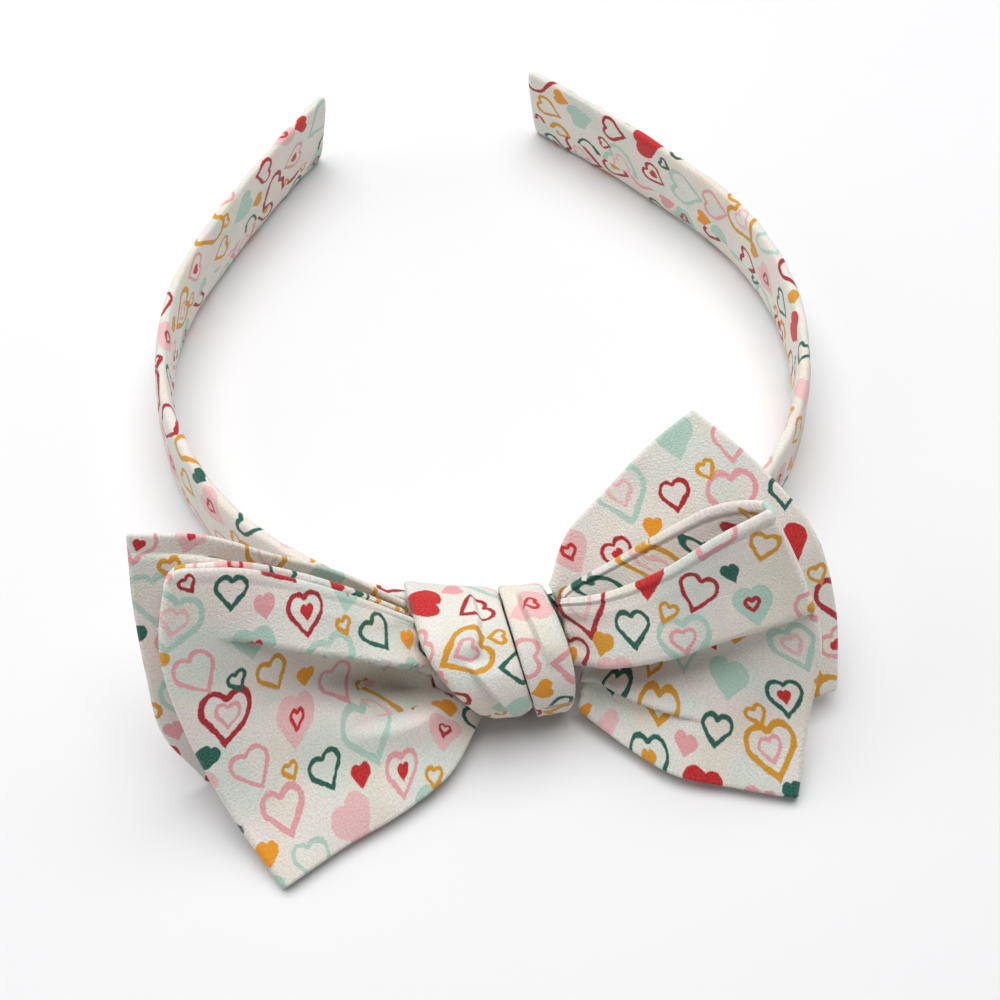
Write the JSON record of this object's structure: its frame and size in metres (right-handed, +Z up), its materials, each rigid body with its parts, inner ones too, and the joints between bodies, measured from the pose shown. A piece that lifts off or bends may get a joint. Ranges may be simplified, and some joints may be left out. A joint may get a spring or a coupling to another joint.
{
  "type": "headband with cloth bow",
  "caption": "Slim cloth-covered alice band, open at the back, with a looped and knotted printed cloth bow off the middle of its crown.",
  "frame": {"origin": "middle of the object's footprint, on the surface it lies on", "axes": "+X across the band, to the right seen from the bow side; +Y from the bow at the crown towards the two free tips; +Z up from the surface, along the band's width"},
  "size_m": [0.135, 0.177, 0.0436],
  "materials": {
    "printed_crepe": "matte crepe with a print of small hearts"
  },
  "bodies": {
    "root": {"covered_band": "printed_crepe", "knot_left_wrap": "printed_crepe", "knot_right_wrap": "printed_crepe", "left_loop": "printed_crepe", "right_loop": "printed_crepe", "left_tail": "printed_crepe", "right_tail": "printed_crepe"}
  },
  "joints": []
}
